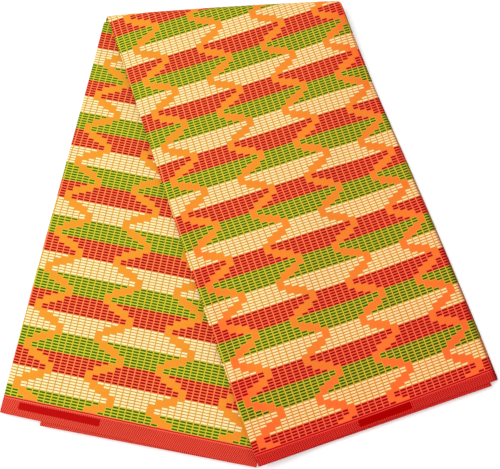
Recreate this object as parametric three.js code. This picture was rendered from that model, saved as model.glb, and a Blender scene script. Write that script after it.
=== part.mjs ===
// A length of printed cotton cloth. It is folded to and fro into a strip of seven layers, and
// the strip is folded once across, a little askew, so that its two legs spread like a fan.
// Millimetres, +Z up. The cloth rests on z = 0, with the right leg lying over the left one.
import * as THREE from "three";
import { mergeVertices } from "three/addons/utils/BufferGeometryUtils.js";

const { clamp, degToRad, lerp, smoothstep } = THREE.MathUtils;

// Sizes of the cloth and of the two legs
const THICKNESS = 1.0;
const LAYER_GAP = 0.35; // air between two layers of a leg
const LEG_GAP = 2.0; // air between the legs where one lies over the other
const STRIP_WIDTH = 298.4; // between the middle lines of the edge folds
const FAN_ANGLE = degToRad(14.87); // turn of each leg from square to the main fold
const LEFT_LEG = 583.3; // along the middle, from the line where the legs' edges would meet
const RIGHT_LEG = 586.7;
const SET_BACK = 14.7; // of the main fold, from the line where the legs' edges would meet

// The right leg falls to the floor beside the left leg
const FALL_START = 4; // past the edge of the left leg
const FALL_LENGTH = 46;

// Layers in the order in which the cloth runs from one cut end to the other. The first one runs
// from right to left, the next one from left to right, and so on.
// level: place in the stack, counted from the inside of the main fold
// insetA, insetB: how far the layer stays inside the left and the right edge of the strip
// leftA, leftB: how far its left selvage stands past the end of the left leg, at either edge
// rightA, rightB: the same for its right selvage and the right leg
const LAYERS = [
  { level: 5, insetA: 0, insetB: 10.3, leftA: -8, leftB: -7, rightA: 0.5, rightB: 4.3 },
  { level: 6, insetA: 0, insetB: 0, leftA: -8, leftB: -9, rightA: 0, rightB: 0 },
  { level: 4, insetA: 16.8, insetB: 0, leftA: -7, leftB: -8, rightA: -2, rightB: -3 },
  { level: 3, insetA: 16.8, insetB: 16.8, leftA: -6, leftB: -5, rightA: -2, rightB: -1 },
  { level: 2, insetA: 0, insetB: 16.8, leftA: -13, leftB: -4, rightA: -3, rightB: -1 },
  { level: 0, insetA: 0, insetB: -1.5, leftA: -1.8, leftB: 3, rightA: -3, rightB: -2 },
  { level: 1, insetA: 50, insetB: -1.5, leftA: 4, leftB: 3, rightA: -1, rightB: -2 },
];

// Steps of the mesh
const ACROSS = [5, 11, 18, 34, 50, 66, 84, 110, 160, 215, 268, 281, 288]; // in all layers
const FOLD_STEPS = 5; // round each edge fold
const CORNER = 4; // width over which a selvage steps from one layer's line to the next one's
const FOLD_SHARE = 0.5; // part of that step which lies on the edge fold itself
const BEND_STEPS = 8; // round the main fold
const FALL_STEPS = 5;
const LEAST_STEP = 8;
const END_STRIP = 30; // last step before a selvage

// Sizes that follow from these
const PITCH = THICKNESS + LAYER_GAP;
const LEG_HEIGHT = LAYERS.length * PITCH - LAYER_GAP;
const LIFT = LEG_HEIGHT + LEG_GAP; // height of the right leg where it lies on the left one
const AXIS_HEIGHT = LEG_HEIGHT + LEG_GAP / 2;
const AXIS_BACK = SET_BACK + LEG_HEIGHT + LEG_GAP / 2; // the axis that the main fold turns round

const sinA = Math.sin(FAN_ANGLE);
const cosA = Math.cos(FAN_ANGLE);
const tanA = Math.tan(FAN_ANGLE);
const sin2A = Math.sin(2 * FAN_ANGLE);
const cos2A = Math.cos(2 * FAN_ANGLE);

// Middle height of a level above the inner face of its leg.
function levelHeight(level) {
  return THICKNESS / 2 + level * PITCH;
}

// The to and fro section, as points on the middle of the cloth. Each point has its place across
// the strip, its height in the stack, the direction square to the cloth, and its two selvages.
function sectionPoints() {
  const points = [];
  LAYERS.forEach((layer, index) => {
    const run = index % 2 === 0 ? -1 : 1;
    const next = LAYERS[index + 1];
    const before = LAYERS[index - 1];
    const radius = (other) => (other ? (Math.abs(other.level - layer.level) * PITCH) / 2 : 0);
    const inA = layer.insetA + radius(run > 0 ? before : next);
    const inB = STRIP_WIDTH - layer.insetB - radius(run > 0 ? next : before);
    const inner = ACROSS.filter((across) => across > inA + 3 && across < inB - 3);
    const places = [inA, ...inner, inB];
    if (run < 0) places.reverse();
    const entry = run > 0 ? "A" : "B";
    const exit = run > 0 ? "B" : "A";
    for (const across of places) {
      const part = (across - inA) / (inB - inA);
      const corner = clamp(Math.abs(across - places[0]) / CORNER, 0, 1);
      const settled = before ? lerp(FOLD_SHARE, 1, corner) : 1;
      const stepped = (leg) => {
        const own = lerp(layer[leg + "A"], layer[leg + "B"], part);
        return before ? lerp(before[leg + entry], own, settled) : own;
      };
      points.push({
        across,
        height: levelHeight(layer.level),
        squareAcross: 0,
        squareUp: run,
        left: stepped("left"),
        right: stepped("right"),
      });
    }
    if (!next) return;
    // the edge fold that leads into the next layer
    const foldRadius = radius(next);
    const centre = run > 0 ? inB : inA;
    const middle = (levelHeight(layer.level) + levelHeight(next.level)) / 2;
    const rise = Math.sign(next.level - layer.level);
    for (let step = 1; step < FOLD_STEPS; step += 1) {
      const part = step / FOLD_STEPS;
      const turn = Math.PI * (part - 0.5);
      points.push({
        across: centre + run * foldRadius * Math.cos(turn),
        height: middle + rise * foldRadius * Math.sin(turn),
        squareAcross: -rise * Math.cos(turn),
        squareUp: -run * Math.sin(turn),
        left: lerp(layer["left" + exit], next["left" + exit], part * FOLD_SHARE),
        right: lerp(layer["right" + exit], next["right" + exit], part * FOLD_SHARE),
      });
    }
  });
  return points;
}

// Places along the strip, from the left selvage over the main fold to the right selvage.
function stripStations() {
  const stations = [
    { leg: "left", at: "selvage" },
    { leg: "left", at: "end strip" },
    { leg: "left", at: "middle" },
  ];
  for (let step = 0; step <= BEND_STEPS; step += 1) {
    stations.push({ leg: "bend", turn: Math.PI * (step / BEND_STEPS - 0.5) });
  }
  for (let step = 0; step <= FALL_STEPS; step += 1) {
    stations.push({ leg: "right", at: "fall", step });
  }
  stations.push({ leg: "right", at: "end strip" });
  stations.push({ leg: "right", at: "selvage" });
  return stations;
}

// A point of the left leg: along it from the main fold, across from its middle, up from its top.
function onLeftLeg(along, across, height) {
  const x = across * cosA - along * sinA;
  const y = -across * sinA - along * cosA;
  return new THREE.Vector3(x, y, LEG_HEIGHT - height);
}

// A point of the right leg, which falls to the floor once it is past the left leg's edge.
function onRightLeg(along, across, height) {
  const x = across * cosA + along * sinA;
  const y = across * sinA - along * cosA;
  const past = along * sin2A + across * cos2A - STRIP_WIDTH / 2;
  const fall = smoothstep(past, FALL_START, FALL_START + FALL_LENGTH);
  return new THREE.Vector3(x, y, LIFT * (1 - fall) + height);
}

// A point of the main fold, where the layers turn round one axis.
function onBend(turn, across, height) {
  const radius = LEG_GAP / 2 + height;
  const x = across / cosA + AXIS_BACK * tanA * (turn / (Math.PI / 2));
  const y = radius * Math.cos(turn) - AXIS_BACK;
  return new THREE.Vector3(x, y, AXIS_HEIGHT + radius * Math.sin(turn));
}

// Puts one point of the flat blank in its folded place. side is 1 on the face, -1 on the back.
function fold(point, station, side) {
  const reach = (side * THICKNESS) / 2;
  const across = point.across + reach * point.squareAcross - STRIP_WIDTH / 2;
  const height = point.height + reach * point.squareUp;
  if (station.leg === "bend") return onBend(station.turn, across, height);

  const middle = point.across - STRIP_WIDTH / 2;
  if (station.leg === "left") {
    const start = AXIS_BACK / cosA - middle * tanA;
    const strip = LEFT_LEG - END_STRIP;
    let along = LEFT_LEG + point.left;
    if (station.at === "end strip") along = strip;
    if (station.at === "middle") along = (start + strip) / 2;
    return onLeftLeg(along, across, height);
  }
  const start = AXIS_BACK / cosA + middle * tanA;
  const strip = RIGHT_LEG - END_STRIP;
  let along = RIGHT_LEG + point.right;
  if (station.at === "end strip") along = strip;
  if (station.at === "fall") {
    const past = FALL_START + (FALL_LENGTH * station.step) / FALL_STEPS;
    const least = start + LEAST_STEP * (station.step + 1);
    const most = strip - LEAST_STEP * (FALL_STEPS + 1 - station.step);
    along = clamp((past + STRIP_WIDTH / 2 - middle * cos2A) / sin2A, least, most);
  }
  return onRightLeg(along, across, height);
}

// Splits the cells of the blank's face and back the same way in every layer, along the line in
// which the right leg falls, so that the layers stay evenly apart there.
function splitAlongFall(geometry, points) {
  const index = geometry.getIndex();
  const [face, back] = geometry.groups.slice(4);
  const columns = points.length - 1;
  for (const side of [face, back]) {
    for (let cell = 0; cell < side.count / 6; cell += 1) {
      const column = cell % columns;
      const first = side === face ? column : columns - 1 - column;
      const run = points[first + 1].across - points[first].across;
      if (run > 0 !== (side === face)) continue;
      const start = side.start + cell * 6;
      const [a, b, d, , c] = index.array.slice(start, start + 6);
      index.array.set([a, b, c, a, c, d], start);
    }
  }
}

// The cloth starts as a flat blank with a step for each point and station, and is then folded.
function foldedCloth() {
  const points = sectionPoints();
  const stations = stripStations();
  const steps = [points.length - 1, stations.length - 1, 1];
  const geometry = new THREE.BoxGeometry(...steps, ...steps);
  splitAlongFall(geometry, points);
  const position = geometry.getAttribute("position");
  const flat = new THREE.Vector3();
  for (let index = 0; index < position.count; index += 1) {
    flat.fromBufferAttribute(position, index);
    const point = points[Math.round(flat.x + steps[0] / 2)];
    const station = stations[Math.round(flat.y + steps[1] / 2)];
    const folded = fold(point, station, -Math.sign(flat.z));
    position.setXYZ(index, folded.x, folded.y, folded.z);
  }
  geometry.deleteAttribute("normal");
  geometry.deleteAttribute("uv");
  const cloth = mergeVertices(geometry, 1e-4);
  cloth.computeBoundingBox();
  const centre = cloth.boundingBox.getCenter(new THREE.Vector3());
  cloth.translate(-centre.x, -centre.y, -cloth.boundingBox.min.z);
  cloth.computeVertexNormals();
  return cloth;
}

const printedCotton = new THREE.MeshStandardMaterial({
  color: 0xd8743c,
  roughness: 0.88,
  metalness: 0,
  flatShading: true,
});

const group = new THREE.Group();
const foldedLength = new THREE.Mesh(foldedCloth(), printedCotton);
foldedLength.name = "folded_cloth";
group.add(foldedLength);

export default group;
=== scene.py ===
import math

import bmesh
import bpy
from mathutils import Euler, Matrix, Vector, noise


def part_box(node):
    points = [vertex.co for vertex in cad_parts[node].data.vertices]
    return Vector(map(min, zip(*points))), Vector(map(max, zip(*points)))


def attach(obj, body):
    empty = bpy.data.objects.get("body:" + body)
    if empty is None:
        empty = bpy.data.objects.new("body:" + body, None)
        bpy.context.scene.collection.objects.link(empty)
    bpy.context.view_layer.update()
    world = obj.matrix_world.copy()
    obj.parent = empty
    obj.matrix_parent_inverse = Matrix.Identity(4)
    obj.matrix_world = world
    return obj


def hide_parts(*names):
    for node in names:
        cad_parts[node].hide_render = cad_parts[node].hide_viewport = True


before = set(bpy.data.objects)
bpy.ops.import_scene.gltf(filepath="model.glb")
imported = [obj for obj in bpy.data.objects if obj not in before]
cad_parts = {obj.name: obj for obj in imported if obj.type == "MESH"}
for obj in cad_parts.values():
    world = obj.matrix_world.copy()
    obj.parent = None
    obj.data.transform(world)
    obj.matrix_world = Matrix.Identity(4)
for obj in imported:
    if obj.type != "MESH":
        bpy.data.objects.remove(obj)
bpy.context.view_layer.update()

MM = 0.001

# Sizes of the cloth and of the two legs. The widths and lengths are the solid's, but the cloth is
# thinner than its solid and lies closer to itself.
THICKNESS = 0.7 * MM
PITCH = 1.35 * MM  # from one layer to the next
LEG_GAP = 0.8 * MM  # air between the legs where one lies over the other
STRIP_WIDTH = 298.4 * MM  # between the middle lines of the edge folds
FAN_ANGLE = math.radians(14.87)  # turn of each leg from square to the main fold
LEFT_LEG = 583.3 * MM  # along the middle, from the line where the legs' edges would meet
RIGHT_LEG = 586.7 * MM
SET_BACK = 13.7 * MM  # of the main fold, from the line where the legs' edges would meet
NOSE_SHARE = 0.8  # depth of the main fold, as a share of a round one's
CLOTH_WIDTH = 1149.6 * MM  # between the selvages, laid flat

# The right leg falls to the floor beside the left leg
FALL_START = 4 * MM  # past the edge of the left leg
FALL_LENGTH = 84 * MM
FALL_FADE = 40 * MM  # length beside the main fold over which the fall begins

# Layers in the order in which the cloth runs from one cut end to the other. The first one runs
# from right to left, the next one from left to right, and so on.
# level: place in the stack, counted from the inside of the main fold
# inset_a, inset_b: millimetres that the layer stays inside the left and the right edge
# left_a, left_b: millimetres that its left selvage stands past the left leg's end, at either edge
# right_a, right_b: the same for its right selvage and the right leg
# ease: cloth taken up along the layer, as a share of the layer's length
LAYERS = [
    dict(level=5, inset_a=0, inset_b=10.3, left_a=-8, left_b=-7, right_a=0.5, right_b=4.3, ease=1),
    dict(level=6, inset_a=0, inset_b=0, left_a=-8, left_b=-9, right_a=0, right_b=0, ease=1.007),
    dict(level=4, inset_a=16.8, inset_b=0, left_a=-7, left_b=-8, right_a=-2, right_b=-3, ease=1.0013),
    dict(level=3, inset_a=16.8, inset_b=16.8, left_a=-6, left_b=-5, right_a=-2, right_b=-1, ease=1.0013),
    dict(level=2, inset_a=0, inset_b=16.8, left_a=-2.4, left_b=-4, right_a=-3, right_b=-1, ease=1.0013),
    dict(level=0, inset_a=0, inset_b=-1.5, left_a=-1.8, left_b=3, right_a=-3, right_b=-2, ease=1),
    dict(level=1, inset_a=50, inset_b=-1.5, left_a=4, left_b=3, right_a=-1, right_b=-2, ease=1),
]
FACE_LAYER = 1  # the layer that shows on the right leg
BACK_LAYER = 5  # the layer that shows on the left leg

# Soft forms of the layers
CREASE_BOW = 2.2 * MM  # of the main fold, at its middle
CREASE_FADE = 80 * MM  # length beside the main fold over which that bow fades
LEG_BOW = {"left": 1.0 * MM, "right": 2.2 * MM}  # of a leg's edges, two thirds of the way along
BOW_SCALE = 27 / 4  # brings the curve of that bow to 1 at its highest
SPREAD_WIDTH = 60 * MM  # width over which an edge that isn't quite straight moves out
FACE_SPREAD = (3.2 * MM, 1.7 * MM)  # of the right face's left edge, at the main fold and at its end
FACE_LEVEL = 4.5  # the levels above this one move with that face
BACK_SPREAD = 6.5 * MM  # of the left face's right edge, at its end
BACK_LEVEL = 1.5  # the levels below this one move with that face
SHORT_LEVELS = {"a": (3, 4), "b": (2, 3)}  # lowest and highest level that stops short of an edge
SHOULDERS = {  # width over which the layers above sink beside an edge, and how far they sink
    ("left", "a"): (28 * MM, 1.5 * MM),
    ("left", "b"): (30 * MM, 1.3 * MM),
    ("right", "a"): (26 * MM, 1.8 * MM),
    ("right", "b"): (4.5 * MM, 2.4 * MM),
}
DIP_PLACES = (8 * MM, 26 * MM, 38 * MM, 56 * MM)  # a dip beside the cut end under the left face
DIP_DROP = 0.5 * MM
TROUGH_PLACES = (5 * MM, 10 * MM, 11 * MM, 16 * MM)  # a trough beside the right face's left edge
TROUGH_DROP = 0.8 * MM
TROUGH_PARTS = (0.25, 0.65)  # parts of the right leg between which it deepens
SOFT_FADE = 60 * MM  # these forms fade towards the main fold
SWELL_SIZE = 95 * MM  # of the slow waves in the stack
SWELL_SHARE = 0.05  # of the height above the floor
SWELL_SLICE = 3.7  # height at which the noise for the waves is cut
RIPPLE_SIZE = 34 * MM
RIPPLE_SHARE = 0.012
RIPPLE_SLICE = 8.2

# Steps of the mesh
EDGE_PLACES = [0, 1.3, 2.6, 4, 6.5, 10, 15]  # millimetres from either end of a layer
CROSS_STEP = 9.5 * MM
FOLD_STEPS = 8  # round each edge fold
CORNER = 4 * MM  # width over which a selvage steps from one layer's line to the next one's
FOLD_SHARE = 0.5  # part of that step which lies on the edge fold itself
LEG_STEPS = 54
RIM_STEP = 0.8 * MM  # last step before a selvage
BEND_STEPS = 18
WAY_STEPS = 24  # for measuring the way round the main fold

# Sizes that follow from these
LEG_HEIGHT = (len(LAYERS) - 1) * PITCH + THICKNESS
LIFT = LEG_HEIGHT + LEG_GAP
AXIS_HEIGHT = LEG_HEIGHT + LEG_GAP / 2
AXIS_BACK = SET_BACK + NOSE_SHARE * AXIS_HEIGHT
SIN_A = math.sin(FAN_ANGLE)
COS_A = math.cos(FAN_ANGLE)
TAN_A = math.tan(FAN_ANGLE)
SIN_2A = math.sin(2 * FAN_ANGLE)
COS_2A = math.cos(2 * FAN_ANGLE)

# The print's chart: bands of small bricks, with a stepped zigzag between the lozenges
BRICK_PITCH = 8.07 * MM  # along the cloth
ROW_PITCH = 3.379 * MM  # from selvage to selvage
BAND_ROWS = 7
HALF_COLUMNS = 10  # columns from one zigzag to the next
FIRST_ROW = 3  # of a band, at the left border
LEFT_BORDER = 20.8 * MM
RIGHT_BORDER = 13.75 * MM
EDGE_COLUMN = 5.57  # column at the edge fold on the right of the right leg's face
LEAN = 0.0132  # drift of the columns along the right leg, as a share of the way
WAVER_STEP = 0.15  # parts of the right leg's length at which the columns' further drift is given
WAVER = [-2.2, -0.9, 1.7, 3.9, 1.0, -0.3, 0.4, 1.6]  # millimetres
END_LEAN = 2.9 * MM  # drift of the columns at the left leg's end
FOLD_DRIFT = (-5.5 * MM, 1.9 * MM)  # of columns and rows beside the main fold, on the left leg
FOLD_DRIFT_END = 0.55  # part of the left leg over which that drift fades
PULL = 2.4 * MM  # stretch of the print beside the main fold, on the right leg
ROW_SAG = (2.4 * MM, 1.1 * MM)  # of the rows on the right leg, at the main fold and at its end
ZIGZAG_LOW = [2.5, 4.5, 5.5]  # rows of a band after which the zigzag's near side steps
ZIGZAG_HIGH = [1.5, 2.5, 3.5, 5.5]  # rows after which its far side steps
ZIGZAG_COLUMNS = 4
BRICK_HALF_LENGTH = 0.415  # share of the brick pitch
BRICK_HALF_HEIGHT = 0.3  # share of the row pitch
INK_SPREAD = 0.06  # soft edge of the ink, as a share of a cell
BORDER_STRIPE = (0.7 * MM, 1.9 * MM)  # a dark line on a light one, from the field into the border
BORDER_LINE = 3.1 * MM  # end of the light line
DASH_PITCH = 2.3 * MM  # along the cloth
DASH_ROW = 1.6 * MM
DASH_SLANT = 0.2
DASH_SHIFT = 0.38  # from one row of dashes to the next, as a share of the pitch
DASH_SHARE = (0.3, 0.72)  # part of the pitch that is light


def srgb(red, green, blue):
    """A colour of a picture, from 0 to 255, as a linear colour."""
    shares = [value / 255 for value in (red, green, blue)]
    light = [s / 12.92 if s <= 0.04045 else ((s + 0.055) / 1.055) ** 2.4 for s in shares]
    return (*light, 1.0)


# Print colours, first where the print is fair and then where it is redder and darker; the redness
# attribute mixes them. Bricks and the lines between their rows and columns have one for each band,
# in the order in which the bands follow each other.
FAIR = dict(
    brick=[srgb(74, 90, 0), srgb(252, 225, 167), srgb(146, 6, 0)],
    row=[srgb(187, 200, 58), srgb(182, 146, 80), srgb(242, 106, 67)],
    column=[srgb(206, 177, 38), srgb(200, 153, 54), srgb(238, 124, 72)],
    zigzag=srgb(224, 143, 40),
    border=srgb(172, 14, 13),
    dash=srgb(232, 95, 71),
    bar=srgb(177, 12, 12),
)
RED = dict(
    brick=[srgb(61, 63, 0), srgb(250, 202, 140), srgb(138, 0, 0)],
    row=[srgb(172, 173, 50), srgb(183, 112, 48), srgb(235, 77, 57)],
    column=[srgb(204, 157, 36), srgb(208, 133, 44), srgb(235, 86, 59)],
    zigzag=srgb(232, 99, 42),
    border=srgb(136, 0, 0),
    dash=srgb(232, 58, 50),
    bar=srgb(157, 0, 0),
)

# How far the print turns redder and darker: a little at the right leg's fold on the left, and more
# of it towards the other places; the trough and shoulder parts are painted shade
RED_START = 0.02
RED_RIGHT = 0.5  # at the right edge of the right leg
RED_END = 0.65  # at the end of the right leg
RED_LEFT_CORNER = 0.3  # at the right-hand corner of the left leg's end
RED_TIP = 0.4  # at the left-hand corner of the right leg's end
RED_TIP_START = 0.8  # part of the right leg at which that begins
TROUGH_PAINTED_SHADE = 0.4  # painted shade along the trough beside the right leg's left edge
TROUGH_PAINTED_SHADE_PLACES = (5 * MM, 10 * MM, 14 * MM, 36 * MM)
SHOULDER_PAINTED_SHADE = 0.35  # painted shade at the right end of the main fold
SHOULDER_PAINTED_SHADE_PLACES = (4 * MM, 34 * MM)  # from the right edge, where it begins to fade and ends
SHOULDER_PAINTED_SHADE_PARTS = (0.12, 0.4)  # the same along the right leg

# Painted shade along the pressed fold at the right leg's right edge: darker and redder
PAINTED_EDGE_SHADE = (0.38, 0.2, 0.25, 1.0)
PAINTED_EDGE_SHADE_WIDTH = (4.5 * MM, 8 * MM)  # at the main fold and at the leg's end
PAINTED_EDGE_SHADE_SHARE = (0.6, 1)  # of that painted shade, at the same two places
PAINTED_EDGE_SHADE_FADE = 0.03  # part of the leg over which the painted shade begins

# Threads of the cloth
THREAD_PITCH = 0.42 * MM
THREAD_RELIEF = 0.1 * MM
THREAD_STRENGTH = 0.25
CROSSING_RELIEF = 0.5  # share of the crossings in that relief
WEAVE_PAINTED_SHADE = 0.03  # painted shade over the crossings of the threads, darker between them
SLUB_SCALE = (60, 900, 1)  # uneven threads, long along the cloth
SLUB_TONES = (0.94, 1.06)
CLOUD_SCALE = 22  # uneven take-up of the dye
CLOUD_DETAIL = 3
CLOUD_TONES = (0.93, 1.07)
SHAKE_SCALE = 140  # of the threads' small bends
SHAKE_ALONG = 0.5 * MM
SHAKE_ACROSS = 0.25 * MM
ROUGHNESS = (0.76, 0.94)
GLOSS = 0.01
SHEEN = 0.015
SHEEN_ROUGHNESS = 0.5
SHEEN_TINT = (1.0, 0.75, 0.5, 1.0)

# Plain bars on the borders: cloth from the face's edge fold, and cloth from the left selvage
LEFT_BAR_START = 23.8 * MM  # from the left edge of the left face
LEFT_BAR_LENGTH = 98 * MM
LEFT_BAR = (7.9 * MM, 16.2 * MM)
RIGHT_BAR = (-168 * MM, -102 * MM)
RIGHT_BAR_SIDES = (2.3 * MM, 10.8 * MM)  # from the right selvage

# Camera, seen from the main fold's frame
CAMERA_TARGET = Vector((38.7, -326.0, 0)) * MM
CAMERA_DISTANCE = 941.5 * MM
CAMERA_TILT = math.radians(15.11)
CAMERA_TURN = math.radians(-4.19)
CAMERA_LENS = 54.0
SENSOR_WIDTH = 36
CAMERA_NEAR = 10 * MM

# Floor and lights, in metres and watts
FLOOR_SIZE = 12
FLOOR_SQUARES = 8
FLOOR_COLOUR = (0.99, 0.99, 0.99, 1.0)
FLOOR_ROUGHNESS = 0.9
FLOOR_GLOSS = 0.1
SKY_COLOUR = (1.0, 1.0, 1.0, 1.0)
SKY_STRENGTH = 0.82
LIGHTS = [
    dict(name="window", place=(-1.8, 0.3, 3.1), size=2.4, power=62.5),
    dict(name="fill", place=(0.8, -1.2, 3.2), size=3.0, power=12),
]


def smoothstep(value, low, high):
    """0 below low, 1 above high, and a soft step between them."""
    part = min(max((value - low) / (high - low), 0), 1)
    return part * part * (3 - 2 * part)


def lerp(start, end, part):
    """The value at a part of the way from start to end."""
    return start + (end - start) * part


def level_height(level):
    """Middle height of a level above the inner face of its leg."""
    return THICKNESS / 2 + level * PITCH


def layer_places(start, end):
    """Places across the strip along one layer, closer together beside its ends."""
    run = 1 if end > start else -1
    edge = [place * MM for place in EDGE_PLACES]
    length = abs(end - start)
    middle = length - 2 * edge[-1]
    steps = round(middle / CROSS_STEP)
    inner = [edge[-1] + middle * step / steps for step in range(1, steps)]
    far = [length - place for place in reversed(edge)]
    return [start + run * place for place in edge + inner + far]


def section_points():
    """Points along the to and fro section, in the order in which the cloth runs. Each has its
    place across the strip, its level and layer, the cloth taken up so far, and how far its two
    selvages stand past the ends of the legs. Points on an edge fold belong to no layer."""
    points = []
    taken = 0
    for index, layer in enumerate(LAYERS):
        run = -1 if index % 2 == 0 else 1
        before = LAYERS[index - 1] if index > 0 else None
        after = LAYERS[index + 1] if index + 1 < len(LAYERS) else None
        radius = [abs(o["level"] - layer["level"]) * PITCH / 2 if o else 0 for o in (before, after)]
        radius_a, radius_b = radius if run > 0 else reversed(radius)
        in_a = layer["inset_a"] * MM + radius_a
        in_b = STRIP_WIDTH - layer["inset_b"] * MM - radius_b
        start, end = (in_a, in_b) if run > 0 else (in_b, in_a)
        entry, leave = ("_a", "_b") if run > 0 else ("_b", "_a")
        for across in layer_places(start, end):
            part = (across - in_a) / (in_b - in_a)
            gone = abs(across - start)
            settled = lerp(FOLD_SHARE, 1, min(gone / CORNER, 1)) if before else 1
            point = dict(across=across, level=layer["level"], layer=index)
            point["taken"] = taken + gone * layer["ease"]
            for leg in ("left", "right"):
                own = lerp(layer[leg + "_a"], layer[leg + "_b"], part)
                stepped = lerp(before[leg + entry], own, settled) if before else own
                point[leg] = stepped * MM
            points.append(point)
        taken += abs(end - start) * layer["ease"]
        if not after:
            break
        fold_radius = radius[1]
        for step in range(1, FOLD_STEPS):
            part = step / FOLD_STEPS
            turn = math.pi * (part - 0.5)
            middle = (layer["level"] + after["level"]) / 2
            point = dict(across=end + run * fold_radius * math.cos(turn), layer=None)
            point["level"] = middle + (after["level"] - layer["level"]) / 2 * math.sin(turn)
            point["taken"] = taken + math.pi * fold_radius * part
            for leg in ("left", "right"):
                point[leg] = lerp(layer[leg + leave], after[leg + leave], part * FOLD_SHARE) * MM
            points.append(point)
        taken += math.pi * fold_radius
    return points


def strip_stations():
    """Places along the strip, from the left selvage over the main fold to the right selvage."""
    parts = [step / LEG_STEPS for step in range(1, LEG_STEPS)] + [1 - RIM_STEP / LEFT_LEG, 1]
    left = [("left", part) for part in reversed(parts)]
    bend = [("bend", math.pi * (step / BEND_STEPS - 0.5)) for step in range(BEND_STEPS + 1)]
    right = [("right", part) for part in parts]
    return left + bend + right


def soft_strip(place, places):
    """1 between the middle two of four places, 0 outside the outer two, and soft between."""
    first, second, third, fourth = places
    return smoothstep(place, first, second) * (1 - smoothstep(place, third, fourth))


def sink(leg, part, point):
    """How far a layer sinks where the layers under it stop short, and in the dip and the trough."""
    drop = 0
    for edge, inside in (("a", point["across"]), ("b", STRIP_WIDTH - point["across"])):
        lowest, highest = SHORT_LEVELS[edge]
        above = point["level"] > highest + 0.5 if leg == "right" else point["level"] < lowest - 0.5
        if above:
            reach, depth = SHOULDERS[leg, edge]
            drop += depth * (1 - smoothstep(inside, 0, reach))
    if leg == "left" and point["layer"] == BACK_LAYER:
        drop += DIP_DROP * soft_strip(point["across"], DIP_PLACES)
    if leg == "right" and point["level"] > FACE_LEVEL:
        trough = soft_strip(point["across"], TROUGH_PLACES)
        drop += TROUGH_DROP * trough * smoothstep(part, *TROUGH_PARTS)
    return drop


def swollen(place):
    """Slow waves, and ripples on them, that the whole stack shares. The underside stays flat."""
    wave = noise.noise(Vector((place.x / SWELL_SIZE, place.y / SWELL_SIZE, SWELL_SLICE)))
    ripple = noise.noise(Vector((place.x / RIPPLE_SIZE, place.y / RIPPLE_SIZE, RIPPLE_SLICE)))
    share = SWELL_SHARE * wave + RIPPLE_SHARE * ripple
    return Vector((place.x, place.y, place.z * (1 + share)))


def spread(point, station):
    """How far a point lies to the right of its straight edge's place, with the cloth for it."""
    leg, part = station
    if leg == "left":
        if point["level"] > BACK_LEVEL:
            return 0
        inside = STRIP_WIDTH - point["across"]
        return BACK_SPREAD * part**2 * (1 - smoothstep(inside, 0, SPREAD_WIDTH))
    if point["level"] < FACE_LEVEL:
        return 0
    near = 1 - smoothstep(point["across"], 0, SPREAD_WIDTH)
    if leg == "bend":
        return -FACE_SPREAD[0] * near * (part / math.pi + 0.5)
    return -lerp(*FACE_SPREAD, part) * near


def waver(part):
    """Drift of the columns at a part of the right leg's length."""
    place = part / WAVER_STEP
    first = min(int(place), len(WAVER) - 2)
    return lerp(WAVER[first], WAVER[first + 1], smoothstep(place - first, 0, 1)) * MM


def bend_way(turn):
    """Length of the way round the main fold up to a turn, for a fold of radius 1."""
    angles = [lerp(-math.pi / 2, turn, (step + 0.5) / WAY_STEPS) for step in range(WAY_STEPS)]
    speeds = [math.hypot(NOSE_SHARE * math.sin(angle), math.cos(angle)) for angle in angles]
    return sum(speeds) / WAY_STEPS * (turn + math.pi / 2)


def bend_share(turn):
    """Share of the way round the main fold at a turn."""
    return bend_way(turn) / bend_way(math.pi / 2)


def side_share(across):
    """0 in the middle of the strip, and 1 at its edges."""
    return (across / (STRIP_WIDTH / 2)) ** 2


def inner_share(point):
    """1 for the innermost layer of the main fold, and 0 for the outermost one."""
    return 1 - point["level"] / (len(LAYERS) - 1)


def bowed(across, leg, part):
    """A place across a leg, moved out with the leg's bowed edges."""
    return across + across * LEG_BOW[leg] / (STRIP_WIDTH / 2) * part**2 * (1 - part) * BOW_SCALE


def on_bend(point, turn, across, left_cloth, right_cloth):
    """A point on the main fold: its place, its distance from the left selvage, and its drift."""
    side = side_share(across)
    inner = inner_share(point)
    radius = LEG_GAP / 2 + level_height(point["level"])
    x = across / COS_A + AXIS_BACK * TAN_A * turn / (math.pi / 2)
    y = NOSE_SHARE * radius * math.cos(turn) - AXIS_BACK + CREASE_BOW * (1 - side)
    z = AXIS_HEIGHT + radius * math.sin(turn)
    turned = bend_share(turn)
    right_width = CLOTH_WIDTH - right_cloth + PULL + ROW_SAG[0] * side
    width = lerp(left_cloth + FOLD_DRIFT[1] * inner, right_width, turned)
    return Vector((x, y, z)), width, lerp(FOLD_DRIFT[0] * inner, waver(0), turned)


def on_left_leg(point, part, across, start, cloth):
    """The same for a point on the left leg, which lies on the floor."""
    gone = cloth * part
    along = start + gone
    bow = CREASE_BOW * (1 - side_share(across)) * (1 - smoothstep(gone, 0, CREASE_FADE))
    soft = smoothstep(gone, 0, SOFT_FADE)
    across = bowed(across, "left", part)
    x = across * COS_A - along * SIN_A
    y = -across * SIN_A - along * COS_A + bow
    z = LEG_HEIGHT - level_height(point["level"]) - soft * sink("left", part, point)
    near_fold = inner_share(point) * (1 - smoothstep(part, 0, FOLD_DRIFT_END))
    width = cloth - gone + FOLD_DRIFT[1] * near_fold
    return Vector((x, y, z)), width, FOLD_DRIFT[0] * near_fold + END_LEAN * part**4


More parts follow.
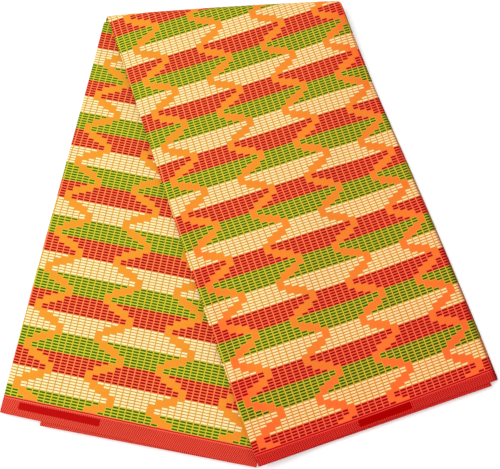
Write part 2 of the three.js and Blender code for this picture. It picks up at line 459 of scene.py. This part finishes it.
def on_right_leg(point, part, across, start, cloth):
    """The same for a point on the right leg, which lies over the left one and falls beside it."""
    gone = cloth * part
    along = start + gone
    side = side_share(across)
    bow = CREASE_BOW * (1 - side) * (1 - smoothstep(gone, 0, CREASE_FADE))
    soft = smoothstep(gone, 0, SOFT_FADE)
    across = bowed(across, "right", part)
    past = along * SIN_2A + across * COS_2A - STRIP_WIDTH / 2
    fall = smoothstep(past, FALL_START, FALL_START + FALL_LENGTH) * smoothstep(gone, 0, FALL_FADE)
    x = across * COS_A + along * SIN_A
    y = across * SIN_A - along * COS_A + bow
    z = LIFT * (1 - fall) + level_height(point["level"]) - soft * sink("right", part, point)
    width = CLOTH_WIDTH - cloth + gone + PULL * (1 - part) ** 4 + lerp(*ROW_SAG, part) * side
    return Vector((x, y, z)), width, LEAN * gone + waver(part)


def folded(point, station):
    """The folded place of a point of the cloth, its distance from the left selvage, and how much
    further along the cloth it is than the point's own place."""
    leg, part = station
    aside = spread(point, station)
    across = point["across"] + aside - STRIP_WIDTH / 2
    left_start = AXIS_BACK / COS_A - across * TAN_A
    right_start = AXIS_BACK / COS_A + across * TAN_A
    left_cloth = LEFT_LEG + point["left"] - left_start
    right_cloth = RIGHT_LEG + point["right"] - right_start
    if leg == "bend":
        place, width, drift = on_bend(point, part, across, left_cloth, right_cloth)
    elif leg == "left":
        place, width, drift = on_left_leg(point, part, across, left_start, left_cloth)
    else:
        place, width, drift = on_right_leg(point, part, across, right_start, right_cloth)
    return swollen(place), width, aside + drift


def redness(point, station):
    """How far the print turns redder and darker at a point, from 0 to 1. The trough and shoulder
    parts are painted shade.
    """
    leg, part = station
    side = point["across"] / STRIP_WIDTH
    if leg == "left":
        return RED_LEFT_CORNER * side * part**2
    if leg == "right":
        tip = RED_TIP * smoothstep(part, RED_TIP_START, 1) * (1 - side)
        # Painted shade: redder and darker in the trough beside the right leg's left edge
        trough = TROUGH_PAINTED_SHADE * soft_strip(point["across"], TROUGH_PAINTED_SHADE_PLACES)
        trough *= smoothstep(part, *TROUGH_PARTS)
        inside = STRIP_WIDTH - point["across"]
        # Painted shade: redder and darker on the shoulder beside the right edge, near the main fold
        painted_shoulder_shade = SHOULDER_PAINTED_SHADE * (1 - smoothstep(inside, *SHOULDER_PAINTED_SHADE_PLACES))
        painted_shoulder_shade *= 1 - smoothstep(part, *SHOULDER_PAINTED_SHADE_PARTS)
        return RED_START + RED_RIGHT * side + RED_END * part**2 + tip + trough + painted_shoulder_shade
    return (RED_START + RED_RIGHT * side) * bend_share(part)


def painted_edge_shade(point, station):
    """How much of the painted shade along the pressed fold a point has, from 0 to 1."""
    leg, part = station
    if leg != "right":
        return 0
    inside = STRIP_WIDTH - point["across"]
    share = lerp(*PAINTED_EDGE_SHADE_SHARE, part) * smoothstep(part, 0, PAINTED_EDGE_SHADE_FADE)
    return share * (1 - smoothstep(inside, 0, lerp(*PAINTED_EDGE_SHADE_WIDTH, part)))


def edge_cloth(points, layer, first):
    """Cloth taken up at the middle of the fold before or after a layer."""
    own = [index for index, point in enumerate(points) if point["layer"] == layer]
    if first:
        return points[own[0] - FOLD_STEPS // 2]["taken"]
    return points[own[-1] + FOLD_STEPS // 2]["taken"]


def make_sheet(points, origin):
    """The cloth, folded from a flat grid, with a map of the cloth laid flat for its print. The map
    starts at the left selvage, and at the given place along the cloth."""
    stations = strip_stations()
    columns = len(points) - 1
    rows = len(stations) - 1
    bm = bmesh.new()
    bmesh.ops.create_grid(bm, x_segments=columns, y_segments=rows, size=1)
    print_map = bm.loops.layers.uv.new("print")
    # How far the print turns redder and darker, in part painted shade, kept for each point
    red_share = bm.verts.layers.float.new("redness")
    # Painted shade along the fold at the right leg's right edge, kept for each point
    painted_shade_share = bm.verts.layers.float.new("painted_edge_shade")
    flat = {}
    for vertex in bm.verts:
        point = points[round((vertex.co.x + 1) / 2 * columns)]
        station = stations[round((vertex.co.y + 1) / 2 * rows)]
        vertex.co, width, further = folded(point, station)
        vertex[red_share] = redness(point, station)
        vertex[painted_shade_share] = painted_edge_shade(point, station)
        flat[vertex] = (point["taken"] - origin + further, width)
    for face in bm.faces:
        face.smooth = True
        for loop in face.loops:
            loop[print_map].uv = flat[loop.vert]
    mesh = bpy.data.meshes.new("printed_sheet")
    bm.to_mesh(mesh)
    bm.free()
    sheet = bpy.data.objects.new("printed_sheet", mesh)
    bpy.context.collection.objects.link(sheet)
    solidify = sheet.modifiers.new("cloth thickness", "SOLIDIFY")
    solidify.thickness = THICKNESS
    solidify.offset = 0
    solidify.use_even_offset = True
    return sheet


def centre_on_solid(sheet):
    """Moves the sheet's mesh so that its box is centred on its solid's. Returns the move."""
    low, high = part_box("folded_cloth")
    places = [vertex.co for vertex in sheet.data.vertices]
    middle_x = (min(p.x for p in places) + max(p.x for p in places)) / 2
    middle_y = (min(p.y for p in places) + max(p.y for p in places)) / 2
    move = Vector(((low.x + high.x) / 2 - middle_x, (low.y + high.y) / 2 - middle_y, 0))
    sheet.data.transform(Matrix.Translation(move))
    return move


class Draft:
    """Adds nodes to a material, so that a chart can be written as calculations."""

    def __init__(self, material):
        material.use_nodes = True
        self.tree = material.node_tree
        self.shader = self.tree.nodes["Principled BSDF"]

    def node(self, kind, **settings):
        """A new node with some of its settings."""
        made = self.tree.nodes.new(kind)
        for name, value in settings.items():
            setattr(made, name, value)
        return made

    def set(self, socket, value):
        """Links a socket to another one, or sets it to a plain value."""
        if isinstance(value, bpy.types.NodeSocket):
            self.tree.links.new(value, socket)
        else:
            socket.default_value = value

    def calc(self, operation, *values):
        """The result of a Math node, from numbers and sockets."""
        made = self.node("ShaderNodeMath", operation=operation)
        for socket, value in zip(made.inputs, values):
            self.set(socket, value)
        return made.outputs[0]

    def total(self, values):
        result = values[0]
        for value in values[1:]:
            result = self.calc("ADD", result, value)
        return result

    def between(self, value, low, high):
        """1 between low and high, and 0 elsewhere."""
        over = self.calc("GREATER_THAN", value, low)
        under = self.calc("LESS_THAN", value, high)
        return self.calc("MULTIPLY", over, under)

    def rise(self, value, low, high):
        """0 below low, 1 above high, and a soft step between them. high may be the lower one."""
        made = self.node("ShaderNodeMapRange", interpolation_type="SMOOTHSTEP")
        self.set(made.inputs["Value"], value)
        made.inputs["From Min"].default_value = low
        made.inputs["From Max"].default_value = high
        return made.outputs["Result"]

    def scaled(self, value, low, high):
        """A value from 0 to 1, spread from low to high."""
        made = self.node("ShaderNodeMapRange")
        self.set(made.inputs["Value"], value)
        made.inputs["To Min"].default_value = low
        made.inputs["To Max"].default_value = high
        return made.outputs["Result"]

    def mix(self, part, first, second, blend="MIX"):
        """From the first colour to the second, by a part from 0 to 1."""
        made = self.node("ShaderNodeMix", data_type="RGBA", blend_type=blend)
        self.set(made.inputs["Factor"], part)
        colours = [socket for socket in made.inputs if socket.type == "RGBA"]
        for socket, value in zip(colours, (first, second)):
            self.set(socket, value)
        return next(socket for socket in made.outputs if socket.type == "RGBA")

    def steps(self, value, colours):
        """One of a few colours, by a value from 0 to 1."""
        made = self.node("ShaderNodeValToRGB")
        ramp = made.color_ramp
        ramp.interpolation = "CONSTANT"
        while len(ramp.elements) < len(colours):
            ramp.elements.new(1)
        for index, colour in enumerate(colours):
            ramp.elements[index].position = index / len(colours)
            ramp.elements[index].color = colour
        self.set(made.inputs["Fac"], value)
        return made.outputs["Color"]

    def attribute(self, name):
        return self.node("ShaderNodeAttribute", attribute_name=name).outputs["Fac"]

    def noise(self, vector, scale, detail=2):
        made = self.node("ShaderNodeTexNoise")
        self.set(made.inputs["Vector"], vector)
        made.inputs["Scale"].default_value = scale
        made.inputs["Detail"].default_value = detail
        return made.outputs["Fac"]


def on_zigzag(draft, column, band, band_row):
    """1 on the stepped zigzag, which runs up one half of the repeat and down the other."""
    repeat_column = draft.calc("FLOORED_MODULO", column, 2 * HALF_COLUMNS)
    half = draft.calc("GREATER_THAN", repeat_column, HALF_COLUMNS - 0.5)
    half_column = draft.calc("MULTIPLY_ADD", half, -HALF_COLUMNS, repeat_column)
    turned = draft.calc("FLOORED_MODULO", draft.calc("ADD", band, half), 2)
    change = draft.calc("MULTIPLY_ADD", half_column, -2, ZIGZAG_COLUMNS)
    step_column = draft.calc("MULTIPLY_ADD", turned, change, half_column)
    near = draft.total([draft.calc("GREATER_THAN", band_row, row) for row in ZIGZAG_LOW])
    far = draft.total([draft.calc("GREATER_THAN", band_row, row) for row in ZIGZAG_HIGH])
    past_near = draft.calc("GREATER_THAN", step_column, draft.calc("SUBTRACT", near, 0.5))
    before_far = draft.calc("LESS_THAN", step_column, draft.calc("ADD", far, 0.5))
    return draft.calc("MULTIPLY", past_near, before_far)


def field_colour(draft, along, width, red):
    """Colour of the bands of bricks, and of the zigzag over them."""
    column_place = draft.calc("MULTIPLY_ADD", along, 1 / BRICK_PITCH, EDGE_COLUMN)
    row_place = draft.calc("MULTIPLY_ADD", width, 1 / ROW_PITCH, FIRST_ROW - LEFT_BORDER / ROW_PITCH)
    column = draft.calc("FLOOR", column_place)
    row = draft.calc("FLOOR", row_place)
    band = draft.calc("FLOOR", draft.calc("DIVIDE", row, BAND_ROWS))
    band_row = draft.calc("MULTIPLY_ADD", band, -BAND_ROWS, row)
    bands = len(FAIR["brick"])
    band_place = draft.calc("FLOORED_MODULO", band, bands)
    band_place = draft.calc("MULTIPLY_ADD", band_place, 1 / bands, 0.5 / bands)

    def toned_print(name):
        fair = draft.steps(band_place, FAIR[name])
        return draft.mix(red, fair, draft.steps(band_place, RED[name]))

    def inside(place, half_size):
        """1 inside a brick, by a place counted in cells, with the ink's soft edge."""
        from_middle = draft.calc("SUBTRACT", draft.calc("FRACT", place), 0.5)
        from_middle = draft.calc("ABSOLUTE", from_middle)
        return draft.rise(from_middle, half_size + INK_SPREAD / 2, half_size - INK_SPREAD / 2)

    in_column = inside(column_place, BRICK_HALF_LENGTH)
    in_row = inside(row_place, BRICK_HALF_HEIGHT)
    lines = draft.mix(in_column, toned_print("column"), toned_print("row"))
    bricks = draft.mix(draft.calc("MULTIPLY", in_column, in_row), lines, toned_print("brick"))
    zigzag = draft.mix(red, FAIR["zigzag"], RED["zigzag"])
    return draft.mix(on_zigzag(draft, column, band, band_row), bricks, zigzag)


def border_colour(draft, along, width, from_right, into, red, left_bar_start):
    """Colour of the borders: slanted dashes, two lines beside the field, and the plain bars."""
    border, light, bar = [draft.mix(red, FAIR[name], RED[name]) for name in ("border", "dash", "bar")]
    dash_row = draft.calc("FLOOR", draft.calc("DIVIDE", width, DASH_ROW))
    slant = draft.calc("MULTIPLY_ADD", width, DASH_SLANT, along)
    dash_place = draft.calc("DIVIDE", slant, DASH_PITCH)
    dash_place = draft.calc("MULTIPLY_ADD", dash_row, DASH_SHIFT, dash_place)
    dash = draft.between(draft.calc("FRACT", dash_place), *DASH_SHARE)
    colour = draft.mix(dash, border, light)
    colour = draft.mix(draft.calc("LESS_THAN", into, BORDER_LINE), colour, light)
    colour = draft.mix(draft.between(into, *BORDER_STRIPE), colour, border)
    left_bar = draft.calc(
        "MULTIPLY",
        draft.between(along, left_bar_start, left_bar_start + LEFT_BAR_LENGTH),
        draft.between(width, *LEFT_BAR),
    )
    right_bar = draft.calc(
        "MULTIPLY",
        draft.between(along, *RIGHT_BAR),
        draft.between(from_right, *RIGHT_BAR_SIDES),
    )
    return draft.mix(draft.calc("ADD", left_bar, right_bar), colour, bar)


def print_colour(draft, along, width, red, left_bar_start):
    """Colour of the print at a place of the flat cloth."""
    from_right = draft.calc("SUBTRACT", CLOTH_WIDTH, width)
    into_left = draft.calc("SUBTRACT", LEFT_BORDER, width)
    into_right = draft.calc("SUBTRACT", RIGHT_BORDER, from_right)
    into = draft.calc("MAXIMUM", into_left, into_right)
    field = field_colour(draft, along, width, red)
    border = border_colour(draft, along, width, from_right, into, red, left_bar_start)
    return draft.mix(draft.calc("GREATER_THAN", into, 0), field, border)


def printed_cotton(left_bar_start):
    """Matt plain-woven cotton, printed through."""
    material = bpy.data.materials.new("printed_cotton")
    draft = Draft(material)
    flat = draft.node("ShaderNodeUVMap", uv_map="print").outputs["UV"]
    apart = draft.node("ShaderNodeSeparateXYZ")
    draft.set(apart.inputs["Vector"], flat)
    along, width = apart.outputs["X"], apart.outputs["Y"]

    # The print follows the threads, which aren't quite straight
    shake = draft.noise(flat, SHAKE_SCALE)
    printed_along = draft.calc("ADD", along, draft.scaled(shake, -SHAKE_ALONG, SHAKE_ALONG))
    printed_width = draft.calc("ADD", width, draft.scaled(shake, SHAKE_ACROSS, -SHAKE_ACROSS))
    red = draft.attribute("redness")
    colour = print_colour(draft, printed_along, printed_width, red, left_bar_start)
    # Painted shade along the pressed fold at the right leg's right edge, darker and redder
    colour = draft.mix(draft.attribute("painted_edge_shade"), colour, PAINTED_EDGE_SHADE, blend="MULTIPLY")

    # Plain weave: warp and weft pass over each other in turn
    warp = draft.calc("SINE", draft.calc("MULTIPLY", along, 2 * math.pi / THREAD_PITCH))
    weft = draft.calc("SINE", draft.calc("MULTIPLY", width, 2 * math.pi / THREAD_PITCH))
    weave = draft.calc("MULTIPLY", warp, weft)

    # Uneven take-up of the dye, in clouds and along the threads
    clouds = draft.scaled(draft.noise(flat, CLOUD_SCALE, CLOUD_DETAIL), *CLOUD_TONES)
    slub = draft.node("ShaderNodeMapping")
    draft.set(slub.inputs["Vector"], flat)
    slub.inputs["Scale"].default_value = SLUB_SCALE
    threads = draft.noise(slub.outputs["Vector"], 1)
    # Painted shade over the weave, darker between the threads' crossings
    crossings = draft.calc("MULTIPLY_ADD", weave, WEAVE_PAINTED_SHADE, 1)
    tone = draft.calc("MULTIPLY", clouds, draft.scaled(threads, *SLUB_TONES))
    shade = draft.node("ShaderNodeHueSaturation")
    draft.set(shade.inputs["Value"], draft.calc("MULTIPLY", tone, crossings))
    draft.set(shade.inputs["Color"], colour)
    draft.set(draft.shader.inputs["Base Color"], shade.outputs["Color"])

    bump = draft.node("ShaderNodeBump")
    bump.inputs["Strength"].default_value = THREAD_STRENGTH
    bump.inputs["Distance"].default_value = THREAD_RELIEF
    draft.set(bump.inputs["Height"], draft.calc("MULTIPLY_ADD", weave, CROSSING_RELIEF, threads))
    draft.set(draft.shader.inputs["Normal"], bump.outputs["Normal"])
    draft.set(draft.shader.inputs["Roughness"], draft.scaled(threads, *ROUGHNESS))
    draft.shader.inputs["Specular IOR Level"].default_value = GLOSS
    draft.shader.inputs["Sheen Weight"].default_value = SHEEN
    draft.shader.inputs["Sheen Roughness"].default_value = SHEEN_ROUGHNESS
    draft.shader.inputs["Sheen Tint"].default_value = SHEEN_TINT
    return material


def make_floor():
    """A pale floor, which belongs to the stage."""
    bm = bmesh.new()
    bmesh.ops.create_grid(bm, x_segments=FLOOR_SQUARES, y_segments=FLOOR_SQUARES, size=FLOOR_SIZE)
    mesh = bpy.data.meshes.new("floor")
    bm.to_mesh(mesh)
    bm.free()
    floor = bpy.data.objects.new("floor", mesh)
    bpy.context.collection.objects.link(floor)
    material = bpy.data.materials.new("pale_floor")
    draft = Draft(material)
    draft.shader.inputs["Base Color"].default_value = FLOOR_COLOUR
    draft.shader.inputs["Roughness"].default_value = FLOOR_ROUGHNESS
    draft.shader.inputs["Specular IOR Level"].default_value = FLOOR_GLOSS
    mesh.materials.append(material)


def make_light(name, place, size, power):
    """A square soft light that faces the middle of the cloth."""
    light = bpy.data.lights.new(name, "AREA")
    light.shape = "SQUARE"
    light.size = size
    light.energy = power
    lamp = bpy.data.objects.new(name, light)
    lamp.location = place
    lamp.rotation_euler = (-Vector(place)).to_track_quat("-Z", "Y").to_euler()
    bpy.context.collection.objects.link(lamp)


def make_world():
    """Even white light from all round."""
    world = bpy.data.worlds.new("studio")
    world.use_nodes = True
    sky = world.node_tree.nodes["Background"]
    sky.inputs["Color"].default_value = SKY_COLOUR
    sky.inputs["Strength"].default_value = SKY_STRENGTH
    bpy.context.scene.world = world


def make_camera(move):
    """The camera stands above the selvages and looks down on the cloth."""
    camera = bpy.data.cameras.new("camera")
    camera.lens = CAMERA_LENS
    camera.sensor_width = SENSOR_WIDTH
    camera.clip_start = CAMERA_NEAR
    holder = bpy.data.objects.new("camera", camera)
    back = Vector((0, -math.sin(CAMERA_TILT), math.cos(CAMERA_TILT))) * CAMERA_DISTANCE
    turn = Matrix.Rotation(CAMERA_TURN, 3, "Z")
    holder.location = turn @ (CAMERA_TARGET + back) + move
    holder.rotation_euler = Euler((CAMERA_TILT, 0, CAMERA_TURN))
    bpy.context.collection.objects.link(holder)
    bpy.context.scene.camera = holder


# The cloth
points = section_points()
face_edge = edge_cloth(points, FACE_LAYER, first=False)
back_edge = edge_cloth(points, BACK_LAYER, first=True)
sheet = make_sheet(points, face_edge)
move = centre_on_solid(sheet)
sheet.data.materials.append(printed_cotton(back_edge - face_edge + LEFT_BAR_START))
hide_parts("folded_cloth")
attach(sheet, "root")

# The stage
make_floor()
make_world()
for light in LIGHTS:
    make_light(**light)
make_camera(move)
bpy.context.scene.view_settings.view_transform = "Standard"
